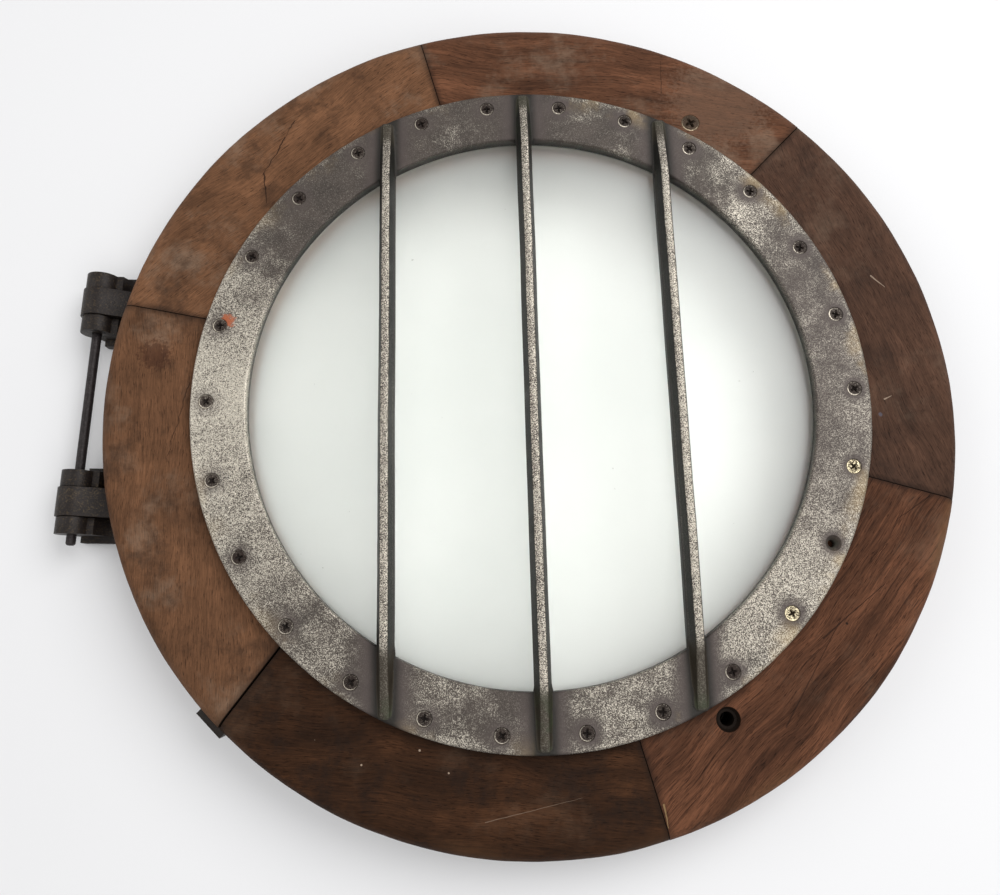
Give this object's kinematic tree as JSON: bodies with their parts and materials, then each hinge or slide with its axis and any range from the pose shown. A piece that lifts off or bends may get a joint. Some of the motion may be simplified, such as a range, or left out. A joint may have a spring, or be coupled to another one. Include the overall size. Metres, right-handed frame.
{
  "type": "round window",
  "caption": "Round hinged window: a segmented hardwood ring with a barred metal guard over the glass, on a long-rod hinge and a cast screw-on frame.",
  "frame": {"origin": "centre of the frame's fixing hole circle, on the frame's flat back face", "axes": "+Z out of the wall towards the guarded side, +Y along the hinge rod, the hinge is on the -X side"},
  "size_m": [0.5375, 0.508, 0.0575],
  "materials": {
    "dark_bronze": "dark patina, worn",
    "rod_steel": "dark, oiled",
    "tinned_bronze": "worn tinned casting",
    "hardwood_brown": "dry, open grain",
    "hardwood_tan": "dry, open grain",
    "hardwood_dark": "dry, open grain",
    "tongue_wood": "plain",
    "clear_glass": "milky underside",
    "bedding": "matte compound",
    "seal_rubber": "matte",
    "dark_screw": "tarnished",
    "bright_screw": "bright",
    "worn_brass": "worn",
    "dark_steel": "dull"
  },
  "bodies": {
    "frame": {"frame_ring": "dark_bronze", "hinge_rod": "rod_steel"},
    "leaf": {"sash_ring": "dark_bronze", "leaf_seal": "seal_rubber", "wood_top": "hardwood_brown", "wood_upper_right": "hardwood_dark", "wood_lower_right": "hardwood_brown", "wood_bottom": "hardwood_dark", "wood_lower_left": "hardwood_tan", "wood_upper_left": "hardwood_tan", "wood_tongues": "tongue_wood", "glass": "clear_glass", "glass_bedding": "bedding", "guard": "tinned_bronze", "guard_screws": "dark_screw", "bright_screws": "bright_screw", "sash_screws": "worn_brass", "wood_screw": "worn_brass", "edge_plate": "dark_steel", "edge_plate_screws": "dark_steel"}
  },
  "joints": [
    {"name": "leaf_hinge", "type": "hinge", "parent": "frame", "child": "leaf", "pos_m": [-0.273, 0, 0.017], "axis": [0, -1, 0], "range_deg": [0, 160]}
  ]
}
